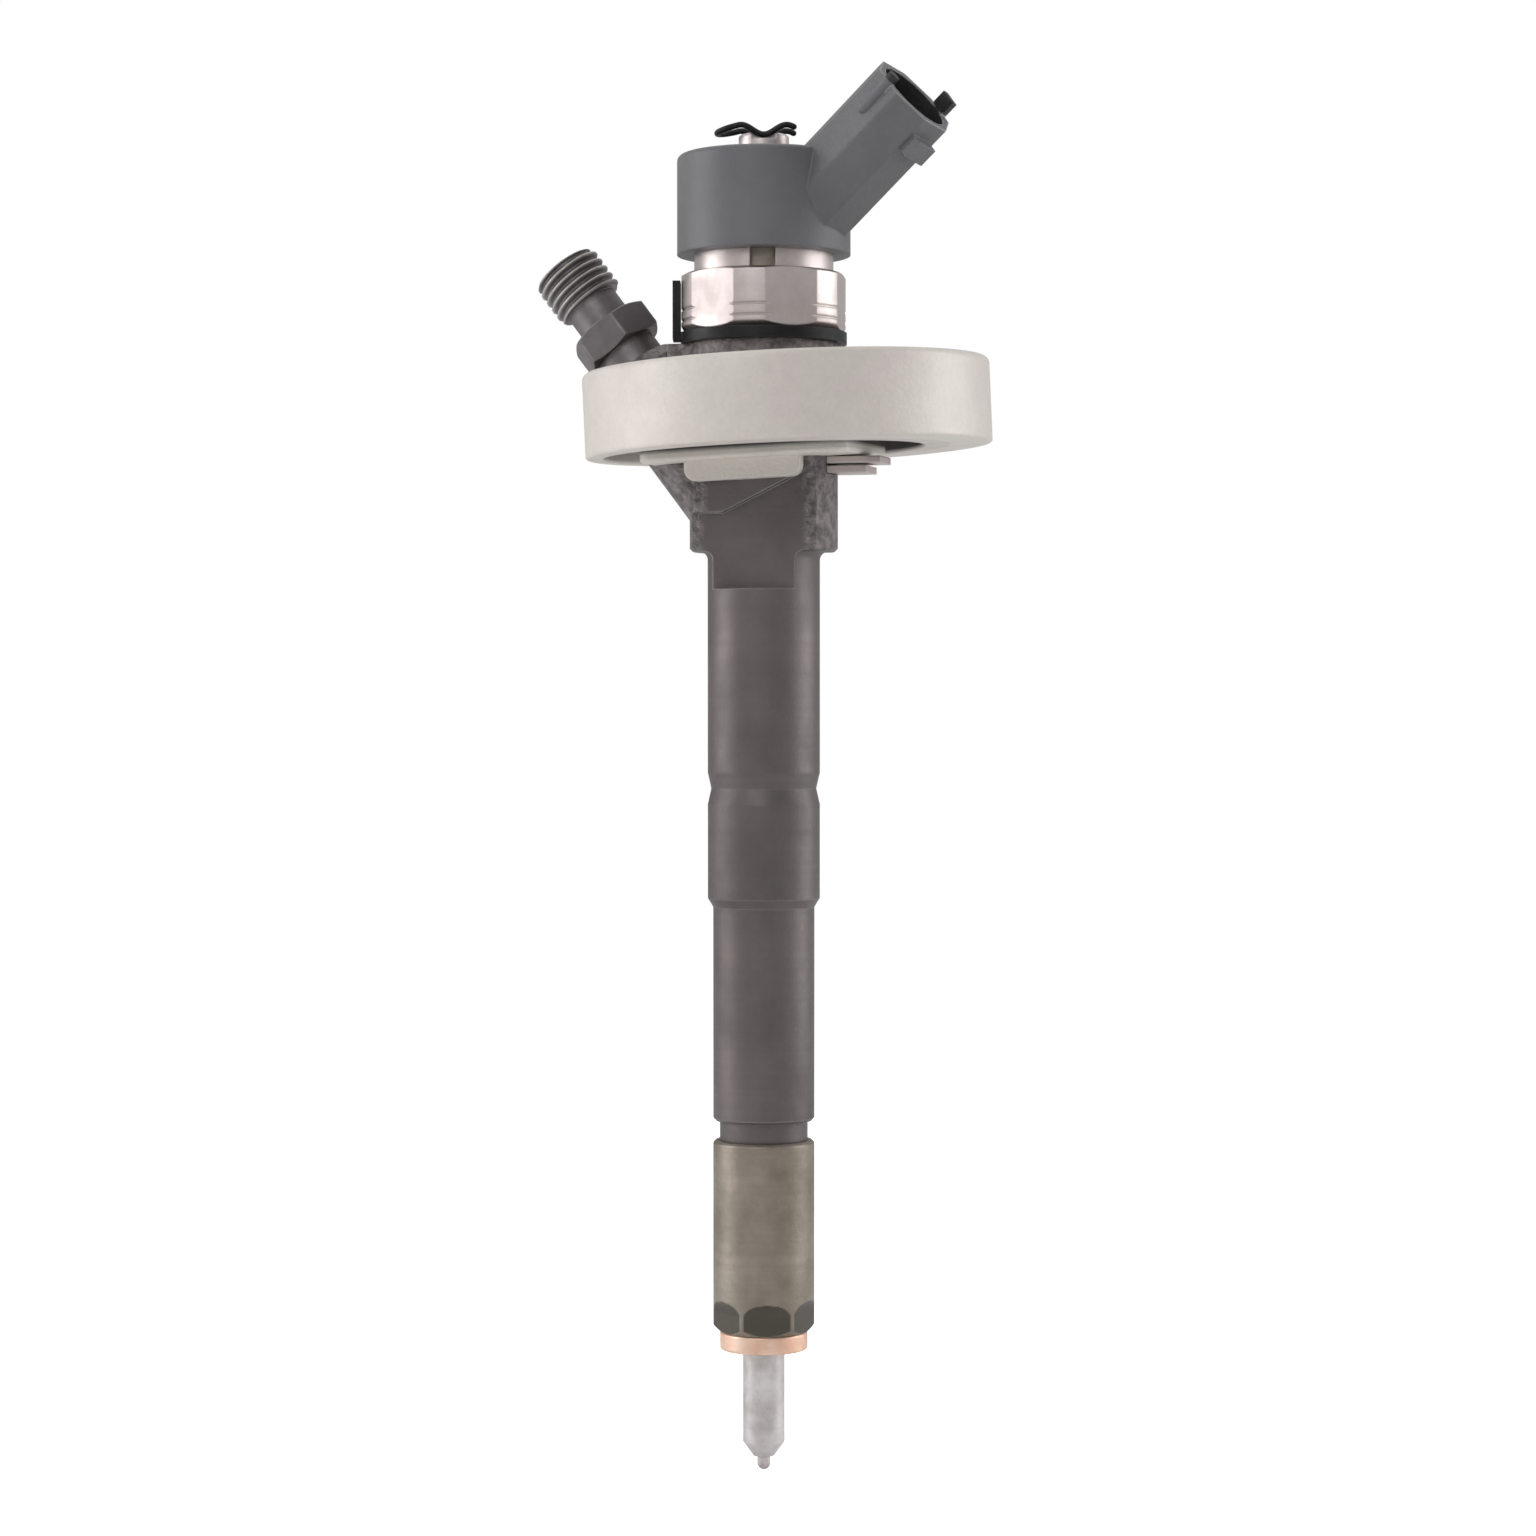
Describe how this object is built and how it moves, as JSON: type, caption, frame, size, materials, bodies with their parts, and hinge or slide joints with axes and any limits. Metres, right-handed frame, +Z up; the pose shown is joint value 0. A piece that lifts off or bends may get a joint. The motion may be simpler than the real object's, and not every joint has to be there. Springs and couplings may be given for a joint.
{
  "type": "fuel injector",
  "caption": "Solenoid diesel fuel injector with nozzle, sleeve nut, leaning inlet union, round cast sealing cap and angled electric socket.",
  "frame": {"origin": "on the injector's axis, at the face of the copper washer that seats in the cylinder head", "axes": "+Z up the injector's axis from the nozzle to the coil; the fuel inlet leans towards -X, the electric socket towards +X, the clamp flats face -Y and +Y"},
  "size_m": [0.0779, 0.0683, 0.2339],
  "materials": {
    "body_steel": "dark phosphate coating over forged and turned steel, faint turning marks",
    "union_steel": "dark phosphate coating, bright on thread crests and hexagon corners",
    "nut_steel": "warm grey plated steel, fine turning marks, slightly polished",
    "nozzle_steel": "ground hardened steel, light grey",
    "copper": "soft annealed copper, matt with a clean edge",
    "cap_alloy": "fine cast light alloy, matt, light warm grey",
    "plated_steel": "bright zinc plating with a warm tint, turned",
    "black_steel": "black oxide spring steel",
    "hardened_steel": "ground and lapped hardened steel",
    "spring_steel": "round spring wire",
    "magnet_iron": "pressed soft-magnetic iron powder",
    "ceramic": "polished ceramic ball",
    "seal_plastic": "filled sealing plastic",
    "seal_rubber": "black fuel-proof rubber",
    "housing_plastic": "glass-filled nylon, blue-grey, satin, moulded",
    "terminal_brass": "tin-plated brass blade"
  },
  "bodies": {
    "injector": {"injector_body": "body_steel", "inlet_adapter": "union_steel", "edge_filter": "hardened_steel", "dowel_pins": "hardened_steel", "nozzle_body": "nozzle_steel", "nozzle_nut": "nut_steel", "combustion_washer": "copper", "nozzle_spring": "spring_steel", "nozzle_spring_shim": "hardened_steel", "high_pressure_seal": "seal_plastic", "valve_body": "hardened_steel", "lift_shim": "hardened_steel", "armature_guide": "hardened_steel", "clamp_screw": "hardened_steel", "overtravel_spring": "spring_steel", "valve_spring": "spring_steel", "spring_shim": "hardened_steel", "magnet_core": "magnet_iron", "coil_bobbin": "housing_plastic", "coil_winding": "copper", "solenoid_sleeve": "plated_steel", "solenoid_o_ring": "seal_rubber", "solenoid_nut": "plated_steel", "lock_washer": "black_steel", "guard_ring": "plated_steel", "terminals": "terminal_brass", "connector_housing": "housing_plastic", "return_port": "plated_steel", "sealing_cap": "cap_alloy", "cap_key": "plated_steel"},
    "needle": {"nozzle_needle": "hardened_steel", "spring_seat": "hardened_steel"},
    "piston": {"control_piston": "hardened_steel"},
    "armature_pin": {"armature_bolt": "hardened_steel", "bolt_clip": "spring_steel", "ball_holder": "hardened_steel", "valve_ball": "ceramic"},
    "armature": {"armature_plate": "magnet_iron"},
    "wire_clip": {"return_clip": "black_steel"}
  },
  "joints": [
    {"name": "needle_lift", "type": "slide", "parent": "injector", "child": "needle", "axis": [0, 0, 1], "range_m": [0, 0.00025], "stiffness_N_per_m": 2000, "deforming": ["nozzle_spring"]},
    {"name": "piston_lift", "type": "slide", "parent": "injector", "child": "piston", "axis": [0, 0, 1], "range_m": [0, 0.00025]},
    {"name": "valve_lift", "type": "slide", "parent": "injector", "child": "armature_pin", "axis": [0, 0, 1], "range_m": [0, 0.00005], "stiffness_N_per_m": 2000, "deforming": ["valve_spring"]},
    {"name": "armature_overtravel", "type": "slide", "parent": "armature_pin", "child": "armature", "axis": [0, 0, -1], "range_m": [0, 0.00003], "stiffness_N_per_m": 1000, "deforming": ["overtravel_spring"]},
    {"name": "wire_clip_lift", "type": "slide", "parent": "injector", "child": "wire_clip", "axis": [0, 0, 1], "range_m": [0, 0.004]}
  ],
  "couplings": [
    {"joint": "piston_lift", "follows": "needle_lift", "ratio": 1}
  ]
}
